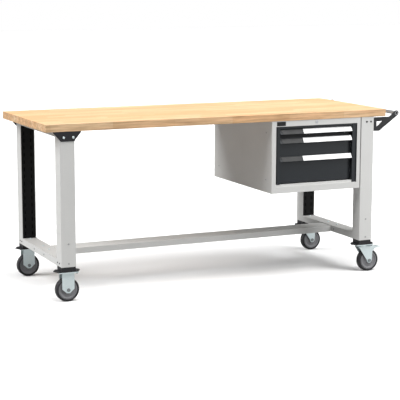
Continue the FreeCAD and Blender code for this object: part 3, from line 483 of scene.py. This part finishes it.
def add_insert_shadow_liners():
    """Near-black strips behind the slots of the leg inserts, folded along both sides, as painted shadow
    for the dark inside the legs.
    """
    mesh = bmesh.new()
    for side in SIDES:
        for end in ENDS:
            leg_low, leg_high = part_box("leg_%s_%s" % (end, side))
            low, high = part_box("leg_inserts_" + side)
            inward = 1 if end == "front" else -1
            opening = leg_high[1] if end == "front" else leg_low[1]
            face = opening - inward * (INSERT_SET + INSERT_WALL)
            back = face - inward * LINER_FOLD
            xs = (low[0] + INSERT_WALL, high[0] - INSERT_WALL)
            zs = (low[2] + LINER_LOW, high[2] - LINER_TOP)
            profile = [(xs[0], back), (xs[0], face), (xs[1], face), (xs[1], back)]
            rows = [[mesh.verts.new((x, y, z)) for x, y in profile] for z in zs]
            for step in range(3):
                mesh.faces.new((rows[0][step], rows[0][step + 1], rows[1][step + 1], rows[1][step]))
    piece = add_piece("insert_shadow_liners", mesh, "bench_frame", "black_paint", LINER_SHADOW_BLACK)
    sheet = piece.modifiers.new("sheet", "SOLIDIFY")
    sheet.thickness = LINER_SHEET
    sheet.offset = 0


def add_tube_caps():
    """Dished plastic caps in the ends of the push tube."""
    mesh = bmesh.new()
    low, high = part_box("push_handle_tube")
    for y, axis in ((low[1], (0, -1, 0)), (high[1], (0, 1, 0))):
        turned(mesh, ((low[0] + high[0]) / 2, y, (low[2] + high[2]) / 2), axis, CAP_RINGS)
    add_piece("tube_caps", mesh, "bench_frame", "black_plastic")


# ---------- camera, light and floor ----------

# The camera stands to the left of the bench's front, looking slightly down at it.
CAMERA_PLACE = Vector((-3.1964, -6.905, 1.6846))
CAMERA_YAW = math.radians(24.69)
CAMERA_PITCH = math.radians(9.466)
CAMERA_ROLL = math.radians(0.096)
CAMERA_LENS = 123.41

# The room lights the bench less than it shows behind it, so that the backdrop stays white.
ROOM_LIGHT = 0.24
ROOM_SEEN = 1.0
SUN_TARGET = (0, 0, 0.3)
SUN_WIDTH = math.radians(44)
BOX_SIDE = 1.4
FLOOR_SPAN = 30
# The floor shows near white, and bounces less light than it shows.
FLOOR_SEEN = ((0.98, 0.98, 0.98, 1), (0.95, 0.95, 0.95, 1))
FLOOR_BOUNCE = (0.3, 0.3, 0.3, 1)


def add_camera():
    camera = bpy.data.objects.new("camera", bpy.data.cameras.new("camera"))
    bpy.context.collection.objects.link(camera)
    camera.data.lens = CAMERA_LENS
    camera.data.sensor_width = 36
    camera.data.clip_end = 100
    turn = Matrix.Rotation(-CAMERA_YAW, 4, "Z") @ Matrix.Rotation(math.pi / 2 - CAMERA_PITCH, 4, "X")
    camera.matrix_world = Matrix.Translation(CAMERA_PLACE) @ turn @ Matrix.Rotation(CAMERA_ROLL, 4, "Z")
    bpy.context.scene.camera = camera


def aim(holder, target):
    holder.rotation_euler = (Vector(target) - holder.location).to_track_quat("-Z", "Y").to_euler()


def add_light(name, kind, place, target, strength, **settings):
    lamp = bpy.data.lights.new(name, kind)
    lamp.energy = strength
    for field, value in settings.items():
        setattr(lamp, field, value)
    holder = bpy.data.objects.new(name, lamp)
    bpy.context.collection.objects.link(holder)
    holder.location = place
    aim(holder, target)


def add_studio():
    """An even white room, a broad high light from the left, one overhead, and a soft box at the right."""
    world = bpy.data.worlds.new("studio")
    world.use_nodes = True
    room = world.node_tree.nodes["Background"]
    direct = world.node_tree.nodes.new("ShaderNodeLightPath")
    strength = world.node_tree.nodes.new("ShaderNodeMapRange")
    strength.inputs["To Min"].default_value = ROOM_LIGHT
    strength.inputs["To Max"].default_value = ROOM_SEEN
    world.node_tree.links.new(direct.outputs["Is Camera Ray"], strength.inputs["Value"])
    world.node_tree.links.new(strength.outputs["Result"], room.inputs["Strength"])
    room.inputs["Color"].default_value = (1, 1, 1, 1)
    bpy.context.scene.world = world
    bpy.context.scene.view_settings.view_transform = "Standard"
    add_light("left_high", "SUN", (-2.9, 0.3, 2.9), SUN_TARGET, 3.3, angle=SUN_WIDTH)
    add_light("overhead", "SUN", (1.0, -1.7, 4.6), SUN_TARGET, 2.7, angle=SUN_WIDTH)
    add_light("right_box", "AREA", (3.0, -3.0, 1.9), (0.4, 0, 0.6), 62, shape="RECTANGLE",
              size=BOX_SIDE, size_y=BOX_SIDE)


def add_floor():
    mesh = bpy.data.meshes.new("floor")
    corners = [(-1, -1), (1, -1), (1, 1), (-1, 1)]
    mesh.from_pydata([(x * FLOOR_SPAN, y * FLOOR_SPAN, 0) for x, y in corners], [], [(0, 1, 2, 3)])
    floor = bpy.data.objects.new("floor", mesh)
    bpy.context.collection.objects.link(floor)
    shader = Shader("pale_floor")
    cloud = shader.noise(1.5, 3, 0.5)
    seen = shader.mix(cloud, *FLOOR_SEEN)
    direct = shader.tree.nodes.new("ShaderNodeLightPath").outputs["Is Camera Ray"]
    shader.set(Base_Color=shader.mix(direct, FLOOR_BOUNCE, seen), Roughness=0.7)
    mesh.materials.append(shader.material)


# Nodes whose sharp edges are rounded, with the radius in metres.
ROUNDED = {
    0.0012: ["worktop"],
    0.0006: [
        "cabinet_shell", "cabinet_front_frame", "caster_adapters", "top_gussets", "push_handle_plates",
        "lower_crossbar_left", "lower_crossbar_right", "upper_crossbars", "stretcher_brackets",
        "drawer_latch_top", "drawer_latch_middle", "drawer_latch_bottom",
        "fork_front_left", "fork_rear_left", "swivel_fork_front_right", "swivel_fork_rear_right",
    ],
    0.0005: ["drawer_%s_%s" % (part, drawer) for drawer in DRAWERS for part in ("front", "grip", "tray")],
    0.0003: ["brake_pedal_front_right", "brake_pedal_rear_right", "blank_plate"],
}

dress_frame()
for edge_radius, softened in ROUNDED.items():
    soften(softened, edge_radius)
add_frame_bolts()
add_caster_nuts()
add_joint_screws()
add_case_rivets()
add_insert_shadow_liners()
add_tube_caps()
add_camera()
add_studio()
add_floor()
